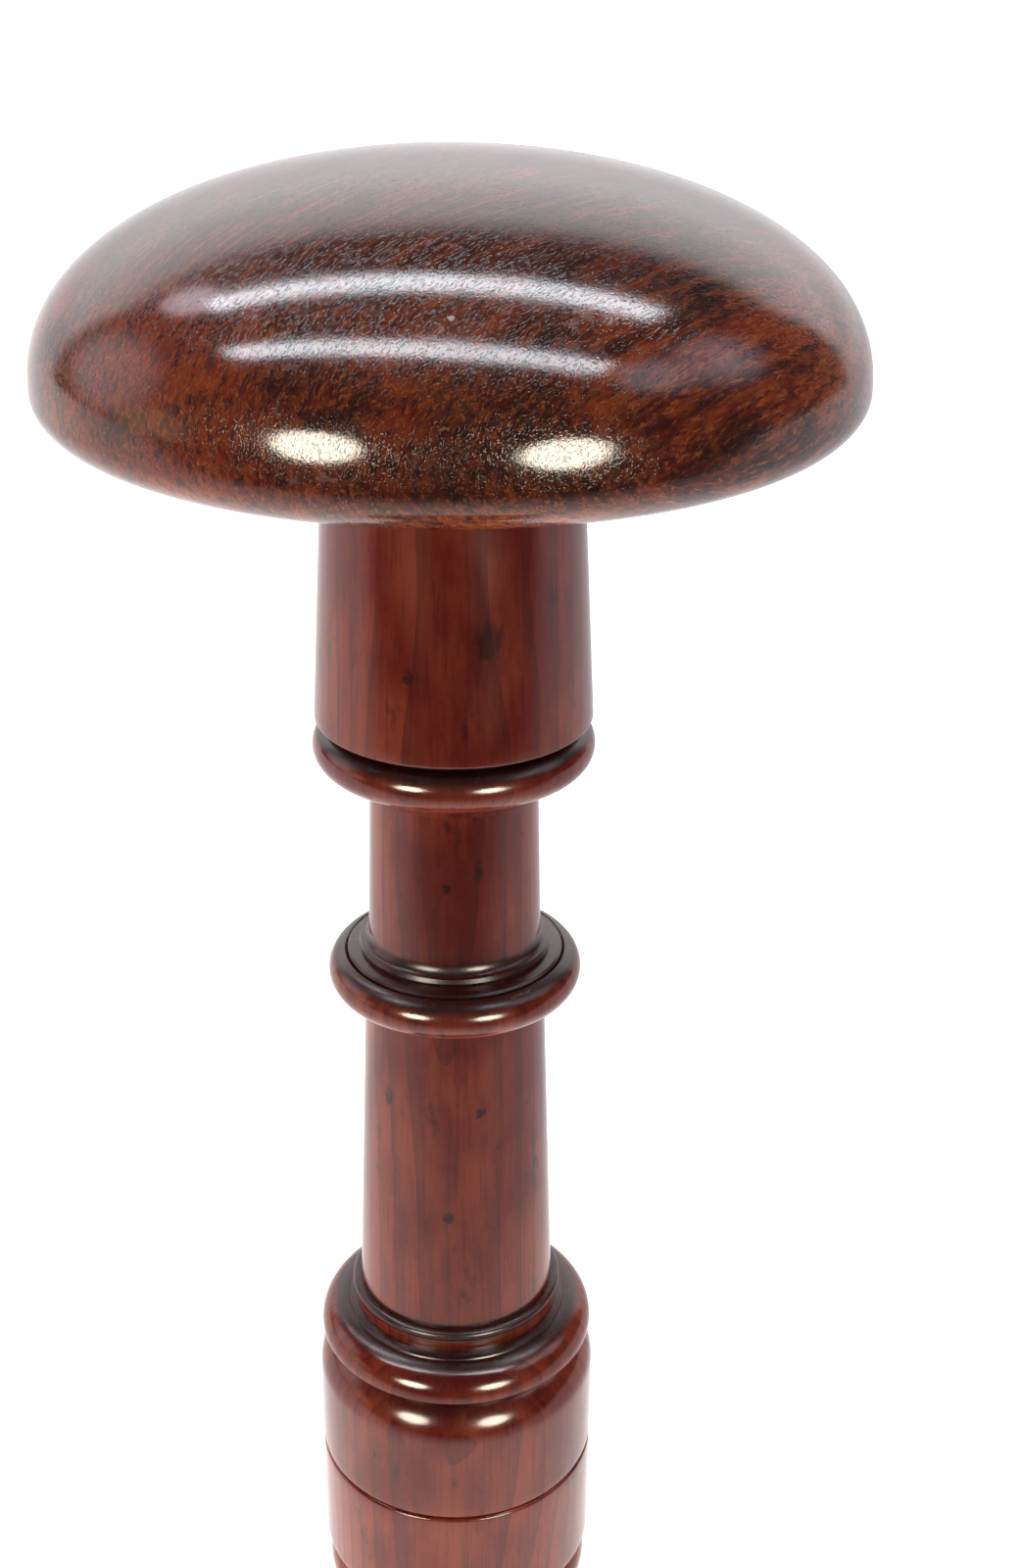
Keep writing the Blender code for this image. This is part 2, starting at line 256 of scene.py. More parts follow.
def collar_outline():
    """Tenon for the cap, flaring collar and the bead below it."""
    shoulder = level(CAP_DROP) - GAP
    bead_centre = UPPER_BEAD_RADIUS - UPPER_BEAD_ROUND
    bead_foot = level(UPPER_BEAD_DEPTH + UPPER_BEAD_ROUND)
    quirk_radius = 0.0184
    quirk_floor = level(0.0523)
    fillet_radius = 0.0142
    fillet_foot = level(0.0620)
    return [
        (0.0, shoulder + CAP_TENON_LENGTH),
        (CAP_TENON_RADIUS, shoulder + CAP_TENON_LENGTH),
        (CAP_TENON_RADIUS, shoulder),
        (COLLAR_TOP_RADIUS, shoulder),
        *rounded_foot(COLLAR_FOOT_RADIUS, level(COLLAR_FOOT_DEPTH)),
        (quirk_radius, level(COLLAR_FOOT_DEPTH)),
        (quirk_radius, quirk_floor),
        *round_arc(bead_centre, level(UPPER_BEAD_DEPTH), UPPER_BEAD_ROUND, 70, -90, 24),
        (fillet_radius, bead_foot),
        (fillet_radius, fillet_foot),
        (NECK_TOP_RADIUS, fillet_foot - ARRIS),
    ]


def middle_ring_outline():
    """Cove, two fine steps and the ring half way down the column."""
    ring_centre = MIDDLE_RING_RADIUS - MIDDLE_RING_ROUND
    cove_top = level(NECK_FOOT_DEPTH)
    upper_step_radius = 0.0147
    upper_step = level(0.0888)
    lower_step_radius = 0.0168
    lower_step = level(0.0904)
    quirk_floor = level(0.0912)
    swell = 0.0003
    return [
        *arc(upper_step_radius, cove_top, upper_step_radius - NECK_FOOT_RADIUS, cove_top - upper_step,
             180, 270, 8),
        (upper_step_radius + swell, upper_step - 2 * swell),
        (upper_step_radius, lower_step + swell),
        (lower_step_radius - swell, lower_step),
        (lower_step_radius, lower_step - swell),
        (lower_step_radius, quirk_floor),
        *round_arc(ring_centre, level(MIDDLE_RING_DEPTH), MIDDLE_RING_ROUND, 75, -90, 24),
    ]


def drum_rim_outline():
    """Roll, fillet and quarter round that end in the rim on top of the drum."""
    rim_level = level(DRUM_RIM_DEPTH)
    quarter_round = 0.0046
    roll_size = 0.0009
    roll_radius = 0.0166
    quirk_radius = 0.0170
    quirk_floor = level(0.1580)
    fillet_radius = 0.0182
    fillet_level = level(0.1583)
    rim_face = 0.0004
    return [
        (SHAFT_FOOT_RADIUS, level(SHAFT_FOOT_DEPTH)),
        *round_arc(roll_radius, level(SHAFT_FOOT_DEPTH) - roll_size, roll_size, 90, -60, 10),
        (quirk_radius, quirk_floor),
        (fillet_radius, fillet_level),
        *round_arc(DRUM_RIM_RADIUS - quarter_round, rim_level, quarter_round, 90, 0, 18),
        (DRUM_RIM_RADIUS, rim_level - rim_face),
    ]


def upper_drum_outline():
    """Round shoulder and straight side of the drum, down to the seam, then the spigot."""
    seam = level(SEAM_DEPTH)
    spigot_foot = seam - SPIGOT_LENGTH
    return [
        *round_arc(DRUM_RADIUS - SHOULDER_ROUND, level(SHOULDER_DEPTH), SHOULDER_ROUND, 58, 0, 16),
        *rounded_foot(DRUM_RADIUS, seam),
        (SPIGOT_RADIUS, seam),
        (SPIGOT_RADIUS, spigot_foot + ARRIS),
        (SPIGOT_RADIUS - ARRIS, spigot_foot),
        (0.0, spigot_foot),
    ]


def upper_column_outline():
    """The upper half of the column, from its cap tenon to its spigot."""
    return [
        *collar_outline(),
        *middle_ring_outline(),
        (SHAFT_TOP_RADIUS, level(MIDDLE_RING_DEPTH + MIDDLE_RING_ROUND)),
        *drum_rim_outline(),
        *upper_drum_outline(),
    ]


def lower_column_outline():
    """The lower half of the drum with its socket, a bead, a shaft, a ring, a waist and the base tenon."""
    top = level(SEAM_DEPTH) - GAP
    socket_radius = SPIGOT_RADIUS + GAP
    socket_floor = level(SEAM_DEPTH) - SPIGOT_LENGTH - GAP
    quirk_radius = 0.0198
    bead_round = 0.0052
    bead_centre = 0.0177
    bead_level = level(0.2152)
    fillet_width = 0.0010
    shaft_top = level(LOWER_SHAFT_TOP_DEPTH)
    shaft_foot = level(LOWER_SHAFT_FOOT_DEPTH)
    ring_centre = LOWER_RING_RADIUS - LOWER_RING_ROUND
    ring_foot = level(LOWER_RING_DEPTH + LOWER_RING_ROUND)
    waist = level(WAIST_DEPTH)
    foot = level(FOOT_DEPTH)
    foot_fillet_radius = FOOT_RADIUS - fillet_width
    foot_fillet = foot + 0.0016
    return [
        (0.0, socket_floor),
        (socket_radius, socket_floor),
        (socket_radius, top - ARRIS),
        (socket_radius + ARRIS, top),
        *rounded_head(DRUM_RADIUS, top),
        *rounded_foot(DRUM_RADIUS, level(DRUM_FOOT_DEPTH)),
        (quirk_radius, level(DRUM_FOOT_DEPTH)),
        *round_arc(bead_centre, bead_level, bead_round, 65, -90, 20),
        (LOWER_SHAFT_TOP_RADIUS + fillet_width, bead_level - bead_round),
        (LOWER_SHAFT_TOP_RADIUS + fillet_width, shaft_top + ARRIS),
        (LOWER_SHAFT_TOP_RADIUS, shaft_top),
        (LOWER_SHAFT_FOOT_RADIUS, shaft_foot),
        *round_arc(ring_centre, level(LOWER_RING_DEPTH), LOWER_RING_ROUND, 90, -90, 26),
        (WAIST_RADIUS + fillet_width, ring_foot),
        (WAIST_RADIUS + fillet_width, waist + ARRIS),
        *arc(foot_fillet_radius, waist, foot_fillet_radius - WAIST_RADIUS, waist - foot_fillet,
             180, 270, 28),
        (FOOT_RADIUS, foot_fillet),
        (FOOT_RADIUS, foot),
        (BASE_TENON_RADIUS, foot),
        (BASE_TENON_RADIUS, foot - BASE_TENON_LENGTH + ARRIS),
        (BASE_TENON_RADIUS - ARRIS, foot - BASE_TENON_LENGTH),
        (0.0, foot - BASE_TENON_LENGTH),
    ]


def base_outline():
    """Round base with a hollow moulding, a fillet and a half-round edge, bored for the tenon."""
    top = level(FOOT_DEPTH) - GAP
    bottom = level(BASE_BOTTOM_DEPTH)
    bore = BASE_TENON_RADIUS + GAP
    table_radius = 0.0300
    hollow_top = top - 0.0012
    hollow_foot = top - 0.0090
    fillet_radius = BASE_RADIUS - 0.0102
    hollow_radius = fillet_radius - ARRIS
    edge_top = hollow_foot - 0.0014
    edge_level = edge_top - BASE_EDGE_ROUND
    plinth_radius = BASE_RADIUS - 0.0032
    return [
        (bore, bottom),
        (bore, top),
        (table_radius, top),
        *arc(hollow_radius, hollow_top, hollow_radius - table_radius, hollow_top - hollow_foot, 180, 270, 28),
        (fillet_radius, hollow_foot - ARRIS),
        (fillet_radius, edge_top),
        *round_arc(BASE_RADIUS - BASE_EDGE_ROUND, edge_level, BASE_EDGE_ROUND, 90, -80, 30),
        (plinth_radius, edge_level - BASE_EDGE_ROUND),
        (plinth_radius, bottom),
        (bore, bottom),
    ]


def even_out(outline, longest):
    """Split the long stretches of an outline so that no step is longer than this."""
    points = [outline[0]]
    for start, end in zip(outline, outline[1:]):
        pieces = max(1, math.ceil(math.dist(start, end) / longest))
        for step in range(1, pieces + 1):
            share = step / pieces
            points.append((start[0] + (end[0] - start[0]) * share, start[1] + (end[1] - start[1]) * share))
    return points


def turn(name, outline, steps):
    """Turn an outline about Z as one closed mesh with crisp moulding edges."""
    vertices = []
    rings = []
    for radius, height in outline:
        if radius < 1e-6:
            rings.append([len(vertices)] * steps)
            vertices.append((0.0, 0.0, height))
            continue
        rings.append([len(vertices) + step for step in range(steps)])
        for step in range(steps):
            angle = math.tau * step / steps
            vertices.append((radius * math.cos(angle), radius * math.sin(angle), height))
    faces = []
    for upper, lower in zip(rings, rings[1:]):
        for step in range(steps):
            corner = (step + 1) % steps
            loop = [upper[step], lower[step], lower[corner], upper[corner]]
            faces.append(list(dict.fromkeys(loop)))
    mesh = bpy.data.meshes.new(name)
    if outline[0] == outline[-1]:
        first, last = rings[0][0], rings[-1][0]
        faces = [[index - last + first if index >= last else index for index in face] for face in faces]
        vertices = vertices[:last]
    mesh.from_pydata(vertices, [], faces)
    mesh.shade_smooth()
    mesh.set_sharp_from_angle(angle=SHARP_ANGLE)
    piece = bpy.data.objects.new(name, mesh)
    bpy.context.scene.collection.objects.link(piece)
    return piece


# Node helpers -------------------------------------------------------------------------------------

def node(tree, kind, inputs=None, **settings):
    """Add a shader node. Inputs are values or the output sockets that feed them."""
    made = tree.nodes.new(kind)
    for key, value in settings.items():
        setattr(made, key, value)
    for key, value in (inputs or {}).items():
        if isinstance(value, bpy.types.NodeSocket):
            tree.links.new(value, made.inputs[key])
        else:
            made.inputs[key].default_value = value
    return made


def maths(tree, operation, first, second=0.0, third=0.0):
    """One Math node; returns its output."""
    return node(tree, "ShaderNodeMath", {0: first, 1: second, 2: third}, operation=operation).outputs[0]


def noise_at(tree, vector, scale, detail=2.0, roughness=0.5, distortion=0.0):
    """Noise value at a vector."""
    inputs = {"Vector": vector, "Scale": scale, "Detail": detail, "Roughness": roughness,
              "Distortion": distortion}
    return node(tree, "ShaderNodeTexNoise", inputs).outputs["Fac"]


def stretch(tree, vector, scale, rotation=(0.0, 0.0, 0.0), location=(0.0, 0.0, 0.0)):
    """Turn a vector, then scale it: large numbers make fine detail along that axis."""
    turned = node(tree, "ShaderNodeMapping", {"Vector": vector, "Rotation": rotation, "Location": location})
    return node(tree, "ShaderNodeMapping", {"Vector": turned.outputs[0], "Scale": scale}).outputs[0]


def ramp(tree, value, low, high):
    """A smooth step: 0 at low, 1 at high, which may be the smaller of the two."""
    inputs = {"Value": value, "From Min": low, "From Max": high}
    return node(tree, "ShaderNodeMapRange", inputs, interpolation_type="SMOOTHSTEP").outputs[0]


def mix(tree, factor, first, second):
    """Mix two colours."""
    made = tree.nodes.new("ShaderNodeMix")
    made.data_type = "RGBA"
    for socket, value in ((made.inputs[0], factor), (made.inputs[6], first), (made.inputs[7], second)):
        if isinstance(value, bpy.types.NodeSocket):
            tree.links.new(value, socket)
        else:
            socket.default_value = value if socket == made.inputs[0] else (*value, 1.0)
    return made.outputs[2]


def spot(tree, vector, place, size, stretch_by):
    """1 at a place, falling to 0 at this distance from it, or nearer along a stretched axis."""
    centred = node(tree, "ShaderNodeVectorMath", {0: vector, 1: place}, operation="SUBTRACT").outputs[0]
    drawn = node(tree, "ShaderNodeVectorMath", {0: centred, 1: stretch_by}, operation="MULTIPLY").outputs[0]
    length = node(tree, "ShaderNodeVectorMath", {0: drawn}, operation="LENGTH").outputs["Value"]
    return ramp(tree, length, size, 0.0)


def new_material(name):
    """Return a material, its node tree and its Principled shader."""
    material = bpy.data.materials.new(name)
    material.use_nodes = True
    tree = material.node_tree
    return material, tree, tree.nodes["Principled BSDF"]


def object_position(tree):
    return node(tree, "ShaderNodeTexCoord").outputs["Object"]


def bump(tree, height, distance, normal=None):
    inputs = {"Height": height, "Distance": distance, "Strength": 1.0}
    if normal is not None:
        inputs["Normal"] = normal
    return node(tree, "ShaderNodeBump", inputs).outputs[0]


# Finishes -----------------------------------------------------------------------------------------

def scaled(colour, factor):
    return tuple(channel * factor for channel in colour)


def share_of(tree, amount, value):
    """A value times a constant."""
    return maths(tree, "MULTIPLY", value, amount)


def bend(tree, place, amount, scale):
    """Shift a position a little, by noise."""
    shift = share_of(tree, amount, maths(tree, "SUBTRACT", noise_at(tree, place, scale), 0.5))
    offset = node(tree, "ShaderNodeCombineXYZ", {"X": shift, "Y": shift, "Z": shift}).outputs[0]
    return node(tree, "ShaderNodeVectorMath", {0: place, 1: offset}, operation="ADD").outputs[0]


def height_of(tree, place):
    return node(tree, "ShaderNodeSeparateXYZ", {0: place}).outputs[2]


def bands(tree, spans, softness):
    """1 inside any of these spans of depth below the cap's widest line, fading over the softness."""
    height = height_of(tree, object_position(tree))
    total = None
    for top, foot in spans:
        above = ramp(tree, height, level(foot) - softness, level(foot) + softness)
        below = ramp(tree, height, level(top) + softness, level(top) - softness)
        inside = maths(tree, "MULTIPLY", above, below)
        total = inside if total is None else maths(tree, "MAXIMUM", total, inside)
    return total


def add_marks(tree, place, colour, marks):
    """Lay small ragged marks over a colour: (place, size, stretch, colour, share)."""
    torn = bend(tree, place, 0.0022, 900.0)
    for centre, size, stretch_by, shade, share in marks:
        raised = (centre[0], centre[1], CAP_LEVEL + centre[2])
        inside = ramp(tree, spot(tree, torn, raised, size, stretch_by), 0.15, 0.75)
        colour = mix(tree, share_of(tree, share, inside), colour, shade)
    return colour


def mahogany_colour(tree, place, grain, turning, pores, marks):
    """Dark to red ground with amber patches, pale and dark streaks along the grain, pores and marks, and a
    painted shade that darkens the top of the cap.
    """
    def along_grain(scale, detail, roughness=0.6, location=(0.0, 0.0, 0.0)):
        return noise_at(tree, stretch(tree, grain, scale, turning, location), 1.0, detail, roughness)

    ribbon = along_grain((28.0, 170.0, 110.0), 4.0)
    cloud = noise_at(tree, place, 34.0, detail=4.0, roughness=0.62)
    patch = noise_at(tree, place, 78.0, detail=4.0, roughness=0.65, distortion=0.6)
    fibre = along_grain((300.0, 2100.0, 1300.0), 4.0, 0.65)
    fleck = along_grain((520.0, 2900.0, 1800.0), 2.0, location=(0.3, 0.1, 0.0))
    streak = along_grain((60.0, 1050.0, 640.0), 3.0, location=(0.0, 0.7, 0.2))
    height = height_of(tree, place)

    tone = maths(tree, "ADD", share_of(tree, 0.45, ribbon), share_of(tree, 0.55, cloud))
    colour = mix(tree, ramp(tree, tone, 0.40, 0.60), MAHOGANY_DARK, MAHOGANY_RED)
    low = maths(tree, "ADD", share_of(tree, 0.55, ramp(tree, height, level(-0.022), level(0.004))), 0.30)
    colour = mix(tree, maths(tree, "MULTIPLY", ramp(tree, patch, 0.50, 0.64), low), colour, MAHOGANY_AMBER)
    colour = mix(tree, share_of(tree, 0.50, ramp(tree, fibre, 0.50, 0.66)), colour, MAHOGANY_ORANGE)
    colour = mix(tree, share_of(tree, 0.85, ramp(tree, fleck, 0.54, 0.66)), colour, MAHOGANY_ORANGE)
    colour = mix(tree, share_of(tree, 0.55, ramp(tree, patch, 0.46, 0.34)), colour, MAHOGANY_PORE)
    # Painted shade: the top of the cap is darkened, for the little light that falls on it from above.
    painted_top_shade = share_of(tree, 0.72, ramp(tree, height, level(-0.011), level(-0.024)))
    colour = mix(tree, painted_top_shade, colour, MAHOGANY_PAINTED_TOP_SHADE)
    colour = mix(tree, share_of(tree, 0.70, ramp(tree, streak, 0.50, 0.64)), colour, MAHOGANY_STREAK)
    colour = mix(tree, share_of(tree, 0.40, ramp(tree, streak, 0.47, 0.36)), colour, MAHOGANY_AMBER)
    colour = mix(tree, share_of(tree, 0.75, pores), colour, MAHOGANY_PORE)
    return add_marks(tree, place, colour, marks)


def mahogany(name, grain_azimuth, grain_dip, marks=()):
    """French-polished mahogany, face grain, with filled pores and a fine orange peel."""
    material, tree, shader = new_material(name)
    place = object_position(tree)
    turning = (Matrix.Rotation(math.radians(grain_dip), 3, "Y")
               @ Matrix.Rotation(-math.radians(grain_azimuth), 3, "Z")).to_euler()
    grain = bend(tree, place, 0.008, 22.0)
    pore = noise_at(tree, stretch(tree, grain, (900.0, 5200.0, 3200.0), turning), 1.0, 2.0, 0.55)
    pores = ramp(tree, pore, 0.56, 0.65)
    colour = mahogany_colour(tree, place, grain, turning, pores, marks)
    tree.links.new(colour, shader.inputs["Base Color"])

    cloudy = noise_at(tree, place, 95.0, detail=3.0)
    polish = node(tree, "ShaderNodeMapRange", {"Value": cloudy, "From Min": 0.3, "From Max": 0.7,
                                              "To Min": 0.07, "To Max": 0.13}).outputs[0]
    tree.links.new(maths(tree, "ADD", polish, share_of(tree, 0.05, pores)), shader.inputs["Roughness"])
    shader.inputs["IOR"].default_value = POLISH_IOR

    surface = bump(tree, noise_at(tree, place, 180.0, detail=1.0), 0.000012)
    surface = bump(tree, noise_at(tree, place, 1500.0, detail=1.0), 0.000005, surface)
    surface = bump(tree, noise_at(tree, place, 3200.0, detail=2.0, roughness=0.6), 0.000010, surface)
    surface = bump(tree, maths(tree, "SUBTRACT", 1.0, pores), 0.000008, surface)
    tree.links.new(surface, shader.inputs["Normal"])
    return material


def growth_rings(tree, place):
    """Saw-toothed rings of a log whose heart stands behind the column."""
    bent = noise_at(tree, stretch(tree, place, (1.0, 1.0, 0.35)), 34.0, detail=2.0)
    split = node(tree, "ShaderNodeSeparateXYZ", {0: place}).outputs
    field = maths(tree, "SUBTRACT", split[1], share_of(tree, 0.055, split[2]))
    field = maths(tree, "ADD", field, share_of(tree, 0.0085, bent))
    return maths(tree, "POWER", maths(tree, "FRACT", maths(tree, "DIVIDE", field, RING_WIDTH)), 2.4)


def fruitwood(name, tone, grime_and_shade_spans, marks=()):
    """Stained fruitwood of the column: upright grain, ring figure, knots, dark wax and painted shade in the
    mouldings.
    """
    material, tree, shader = new_material(name)
    place = object_position(tree)
    fibre = noise_at(tree, stretch(tree, place, (1300.0, 1300.0, 45.0)), 1.0, detail=4.0, roughness=0.6)
    mottle = noise_at(tree, stretch(tree, place, (1.0, 1.0, 0.45)), 160.0, detail=4.0, roughness=0.6)
    cloud = noise_at(tree, stretch(tree, place, (1.0, 1.0, 0.6)), 60.0, detail=2.0)
    smudge = noise_at(tree, stretch(tree, place, (1.0, 1.0, 0.5)), 210.0, detail=3.0, roughness=0.6)

    ground = maths(tree, "ADD", share_of(tree, 0.5, mottle), share_of(tree, 0.5, cloud))
    colour = mix(tree, ramp(tree, ground, 0.38, 0.62),
                 scaled(FRUITWOOD_RED, tone), scaled(FRUITWOOD_ORANGE, tone))
    colour = mix(tree, share_of(tree, 0.50, growth_rings(tree, place)), colour, FRUITWOOD_DARK)
    colour = mix(tree, share_of(tree, 0.40, ramp(tree, fibre, 0.45, 0.70)), colour, FRUITWOOD_DARK)
    colour = mix(tree, share_of(tree, 0.65, ramp(tree, smudge, 0.60, 0.74)), colour, FRUITWOOD_GRIME_AND_SHADE)
    colour = add_marks(tree, place, colour, marks)
    broken = ramp(tree, noise_at(tree, place, 420.0, detail=3.0), 0.20, 0.50)
    # Painted shade with dark wax: the moulding spans are darkened and made duller.
    grime_and_shade = maths(tree, "MULTIPLY", bands(tree, grime_and_shade_spans, GRIME_AND_SHADE_FADE),
                  maths(tree, "ADD", share_of(tree, 0.35, broken), 0.50))
    colour = mix(tree, grime_and_shade, colour, FRUITWOOD_GRIME_AND_SHADE)
    tree.links.new(colour, shader.inputs["Base Color"])

    polish = node(tree, "ShaderNodeMapRange", {"Value": mottle, "From Min": 0.3, "From Max": 0.7,
                                              "To Min": 0.13, "To Max": 0.20}).outputs[0]
    tree.links.new(maths(tree, "ADD", polish, share_of(tree, 0.14, grime_and_shade)), shader.inputs["Roughness"])
    shader.inputs["IOR"].default_value = POLISH_IOR
    surface = bump(tree, noise_at(tree, place, 260.0, detail=2.0), 0.000012)
    tree.links.new(bump(tree, fibre, 0.000004, surface), shader.inputs["Normal"])
    return material


def wedge_wood(name):
    """Bare hardwood of the wedge."""
    material, tree, shader = new_material(name)
    place = object_position(tree)
    fibre = noise_at(tree, stretch(tree, place, (1500.0, 1500.0, 110.0)), 1.0, detail=4.0)
    colour = mix(tree, ramp(tree, fibre, 0.35, 0.65), (0.30, 0.17, 0.075), (0.42, 0.27, 0.13))
    tree.links.new(colour, shader.inputs["Base Color"])
    tree.links.new(maths(tree, "ADD", maths(tree, "MULTIPLY", fibre, 0.15), 0.55), shader.inputs["Roughness"])
    tree.links.new(bump(tree, fibre, 0.00004), shader.inputs["Normal"])
    return material


def baize(name):
    """Green woollen baize: matted nap with a trace of the weave."""
    material, tree, shader = new_material(name)
    place = object_position(tree)
    nap = noise_at(tree, place, 2600.0, detail=3.0, roughness=0.7)
    felt = noise_at(tree, place, 260.0, detail=3.0)
    worn = noise_at(tree, place, 40.0, detail=2.0)
    colour = mix(tree, ramp(tree, nap, 0.30, 0.70), (0.010, 0.045, 0.020), (0.030, 0.110, 0.050))
    colour = mix(tree, share_of(tree, 0.35, ramp(tree, worn, 0.5, 0.75)), colour, (0.055, 0.115, 0.060))
    tree.links.new(colour, shader.inputs["Base Color"])
    tree.links.new(maths(tree, "ADD", maths(tree, "MULTIPLY", nap, 0.1), 0.86), shader.inputs["Roughness"])
    shader.inputs["Sheen Weight"].default_value = 0.5
    surface = bump(tree, felt, 0.00012)
    tree.links.new(bump(tree, nap, 0.00010, surface), shader.inputs["Normal"])
    return material


# Pieces -------------------------------------------------------------------------------------------

def add_piece(name, node_name, body, outline, longest, steps, material):
    """Turn a finer piece that stands for one CAD node."""
    piece = turn(name, even_out(outline, longest), steps)
    piece.data.materials.append(material)
    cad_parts[node_name].data.materials.clear()
    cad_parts[node_name].data.materials.append(material)
    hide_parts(node_name)
    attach(piece, body)
    return piece


cap_finish = mahogany("cap_mahogany_finish", 44.0, 10.0, CAP_MARKS)
base_finish = mahogany("base_mahogany_finish", 20.0, 3.0)
upper_finish = fruitwood("upper_fruitwood_finish", 1.0, COLUMN_GRIME_AND_SHADE, COLUMN_MARKS)
lower_finish = fruitwood("lower_fruitwood_finish", 1.1, LOWER_GRIME_AND_SHADE)
wedge_finish = wedge_wood("wedge_finish")
baize_finish = baize("baize_finish")

cap = add_piece("cap_turned", "cap", "upper_stand", cap_outline(), CAP_SPLIT, WIDE_STEPS, cap_finish)
upper = add_piece("upper_column_turned", "upper_column", "upper_stand", upper_column_outline(), SPLIT,
                  COLUMN_STEPS, upper_finish)
lower = add_piece("lower_column_turned", "lower_column", "root", lower_column_outline(), SPLIT,
                  COLUMN_STEPS, lower_finish)
base = add_piece("base_turned", "base", "root", base_outline(), SPLIT, WIDE_STEPS, base_finish)
for node_name, material in (("base_wedge", wedge_finish), ("baize_pad", baize_finish)):
    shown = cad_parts[node_name]
    shown.data.materials.clear()
    shown.data.materials.append(material)


# Camera, light and setting -----------------------------------------------------------------------

def add_camera():
    """The camera in front of the cap, looking down at the column."""
    ahead = Vector((math.sin(CAMERA_YAW) * math.cos(CAMERA_PITCH),
                    math.cos(CAMERA_YAW) * math.cos(CAMERA_PITCH),
                    -math.sin(CAMERA_PITCH)))
    right = Vector((math.cos(CAMERA_YAW), -math.sin(CAMERA_YAW), 0.0))
    upward = right.cross(ahead)
    across = math.cos(CAMERA_ROLL) * right + math.sin(CAMERA_ROLL) * upward
    upright = math.cos(CAMERA_ROLL) * upward - math.sin(CAMERA_ROLL) * right
    data = bpy.data.cameras.new("camera")
    data.lens = CAMERA_LENS
    data.sensor_width = 36.0
    data.clip_start = 0.01
    data.clip_end = 40.0
    camera = bpy.data.objects.new("camera", data)
    turning = Matrix((across, upright, -ahead)).transposed().to_4x4()
    camera.matrix_world = Matrix.Translation((0.0, -CAMERA_DISTANCE, CAP_LEVEL + CAMERA_RISE)) @ turning
    bpy.context.scene.collection.objects.link(camera)
    bpy.context.scene.camera = camera


def add_area(name, shape, centre, width, height, radiance, colour):
    """Lamp that shows only as a reflection; it faces the cap unless it is turned."""
    data = bpy.data.lights.new(name, "AREA")
    data.shape = shape
    data.size = width
    data.size_y = height
    data.energy = radiance * math.pi * width * height
    data.color = colour
    lamp = bpy.data.objects.new(name, data)
    lamp.location = centre
    lamp.rotation_euler = (CAP_CENTRE - Vector(centre)).to_track_quat("-Z", "Y").to_euler()
    lamp.visible_camera = False
    lamp.visible_diffuse = False
    bpy.context.scene.collection.objects.link(lamp)
    return lamp


def add_strip(name, start, end, width, radiance, colour):
    """Long overhead lamp between two points over the cap, shining straight down."""
    first, last = CAP_CENTRE + Vector(start), CAP_CENTRE + Vector(end)
    run = last - first
    lamp = add_area(name, "RECTANGLE", (first + last) / 2, run.length, width, radiance, colour)
    lamp.rotation_euler = (0.0, 0.0, math.atan2(run.y, run.x))


def add_soft_sun(name, direction, strength, colour, softness):
    """Broad soft light that shows in no reflection."""
    data = bpy.data.lights.new(name, "SUN")
    data.energy = strength
    data.color = colour
    data.angle = math.radians(softness)
    sun = bpy.data.objects.new(name, data)
    sun.rotation_euler = (-Vector(direction)).to_track_quat("-Z", "Y").to_euler()
    sun.visible_glossy = False
    sun.visible_camera = False
    bpy.context.scene.collection.objects.link(sun)


def add_world():
    """Dim room with a bright backdrop behind the stand; the camera itself sees only pale white."""
    world = bpy.data.worlds.new("room")
    bpy.context.scene.world = world
    world.use_nodes = True
    tree = world.node_tree
    background = tree.nodes["Background"]
    direction = node(tree, "ShaderNodeTexCoord").outputs["Generated"]
    split = node(tree, "ShaderNodeSeparateXYZ", {0: direction}).outputs
    behind = maths(tree, "MAXIMUM", split[1], 0.0001)
    sideways = maths(tree, "DIVIDE", maths(tree, "ABSOLUTE", split[0]), behind)
    upwards = maths(tree, "DIVIDE", split[2], behind)
    patch = maths(tree, "MULTIPLY", ramp(tree, sideways, 1.35, 1.10), ramp(tree, upwards, 1.15, 0.80))
    patch = maths(tree, "MULTIPLY", patch, ramp(tree, split[1], 0.0, 0.05))
    backdrop = mix(tree, ramp(tree, upwards, 0.15, 0.45), BACKDROP_COLOUR, BACKDROP_UPPER)
    light = mix(tree, patch, ROOM_COLOUR, backdrop)
    for aim, inner, outer, colour in ROOM_GLOWS:
        nearness = node(tree, "ShaderNodeVectorMath", {0: direction, 1: Vector(aim).normalized()},
                        operation="DOT_PRODUCT").outputs["Value"]
        share = ramp(tree, nearness, math.cos(math.radians(outer)), math.cos(math.radians(inner)))
        light = mix(tree, share, light, colour)
    path = node(tree, "ShaderNodeLightPath").outputs["Is Camera Ray"]
    tree.links.new(mix(tree, path, light, (1.0, 1.0, 1.0)), background.inputs["Color"])
    background.inputs["Strength"].default_value = 1.0


def add_plane(name, half):
    """Level square on the ground."""
    mesh = bpy.data.meshes.new(name)
    corners = [(-half, -half, 0), (half, -half, 0), (half, half, 0), (-half, half, 0)]
    mesh.from_pydata(corners, [], [(0, 1, 2, 3)])
    plane = bpy.data.objects.new(name, mesh)
    bpy.context.scene.collection.objects.link(plane)
    return plane


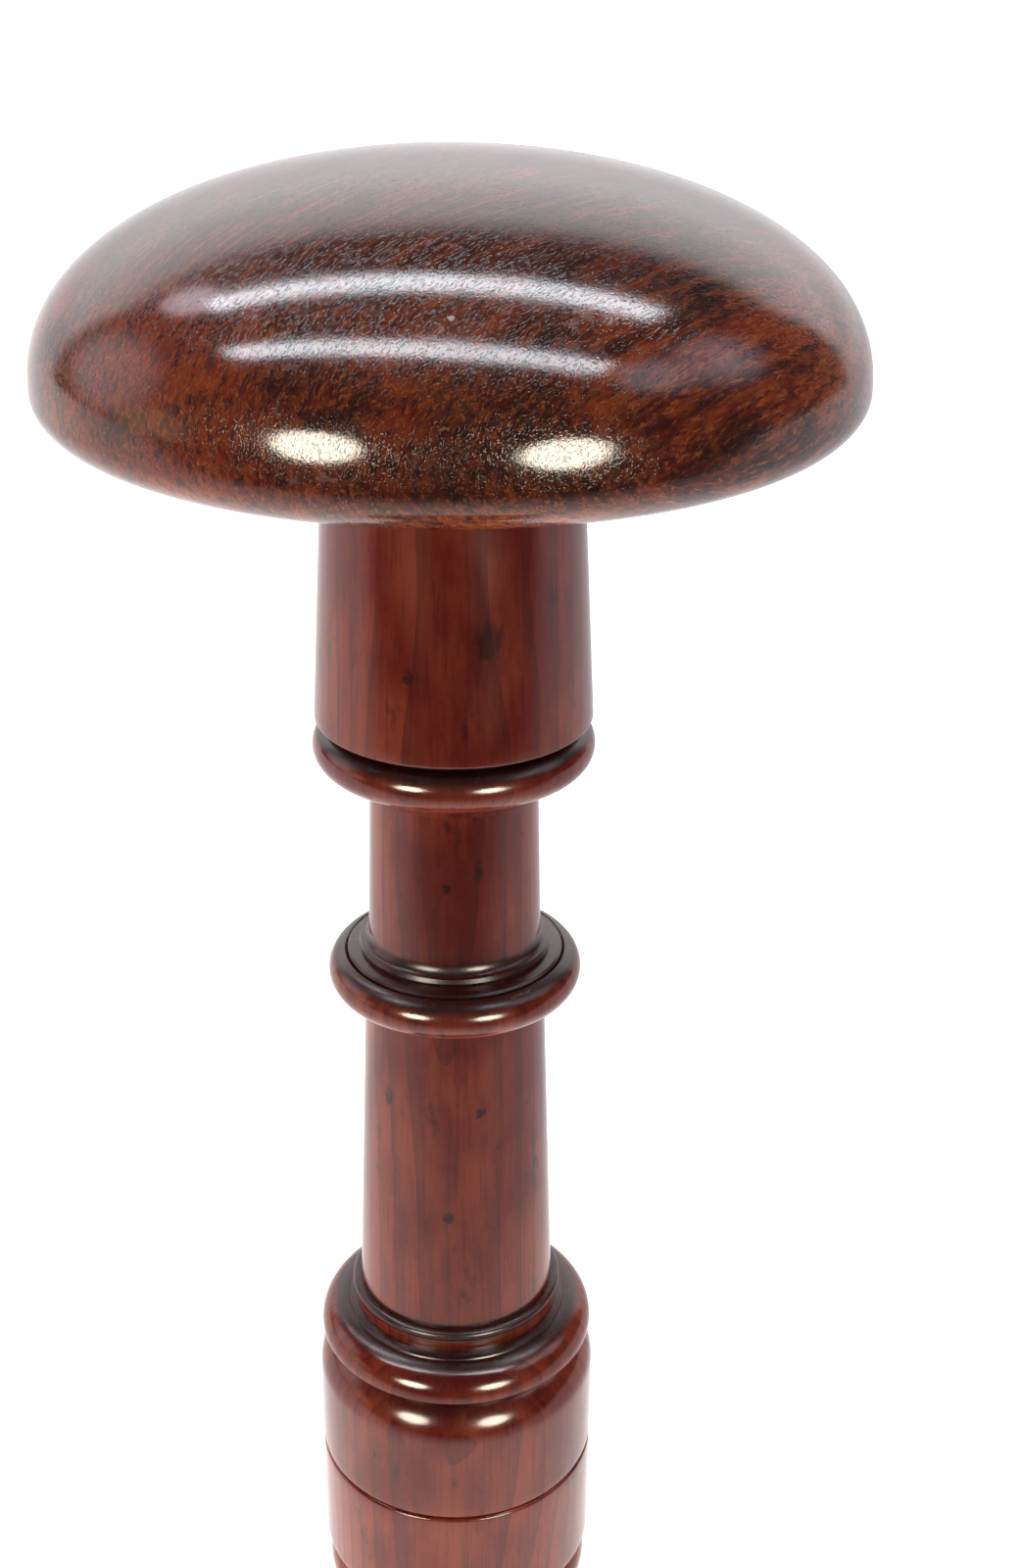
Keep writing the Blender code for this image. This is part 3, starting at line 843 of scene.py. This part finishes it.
def add_floor():
    """Wide pale floor, and what the polish mirrors of it: pale round the stand and dim towards the front."""
    floor = add_plane("floor", 6.0)
    material, tree, shader = new_material("floor_paint")
    shade = noise_at(tree, object_position(tree), 3.0)
    tree.links.new(mix(tree, shade, (0.54, 0.54, 0.545), (0.56, 0.56, 0.555)), shader.inputs["Base Color"])
    shader.inputs["Roughness"].default_value = 0.8
    shader.inputs["Emission Color"].default_value = (1.0, 1.0, 1.0, 1.0)
    shader.inputs["Emission Strength"].default_value = FLOOR_GLOW
    floor.data.materials.append(material)
    floor.visible_glossy = False
    floor.visible_diffuse = False

    mirrored = add_plane("mirrored_floor", 6.0)
    material, tree, shader = new_material("mirrored_floor_light")
    split = node(tree, "ShaderNodeSeparateXYZ", {0: object_position(tree)}).outputs
    pale = ramp(tree, split[1], -0.55, -0.10)
    right = ramp(tree, split[0], -0.1, 0.3)
    light = mix(tree, right, MIRRORED_FLOOR_LEFT, MIRRORED_FLOOR_RIGHT)
    near = node(tree, "ShaderNodeVectorMath", {0: object_position(tree)}, operation="LENGTH").outputs["Value"]
    light = mix(tree, ramp(tree, near, 0.32, 0.10), light, MIRRORED_FLOOR_NEAR)
    light = mix(tree, pale, ROOM_COLOUR, light)
    emission = node(tree, "ShaderNodeEmission", {"Color": light})
    tree.nodes.remove(shader)
    output = tree.nodes["Material Output"]
    tree.links.new(emission.outputs[0], output.inputs["Surface"])
    mirrored.data.materials.append(material)
    mirrored.visible_camera = False
    mirrored.visible_shadow = False
    mirrored.visible_transmission = False


add_camera()
add_world()
add_floor()
for lamp_name, start, end, width, radiance in STRIPS:
    add_strip(lamp_name, start, end, width, radiance, STRIP_COLOUR)
for lamp_name, aim in LAMPS:
    centre = CAP_CENTRE + Vector(aim).normalized() * LAMP_DISTANCE
    add_area(lamp_name, "ELLIPSE", centre, LAMP_WIDTH, LAMP_HEIGHT, LAMP_RADIANCE, LAMP_COLOUR)
add_soft_sun("overhead", SUN_DIRECTION, SUN_STRENGTH, SUN_COLOUR, SUN_SOFTNESS)

bpy.context.scene.view_settings.view_transform = "Standard"
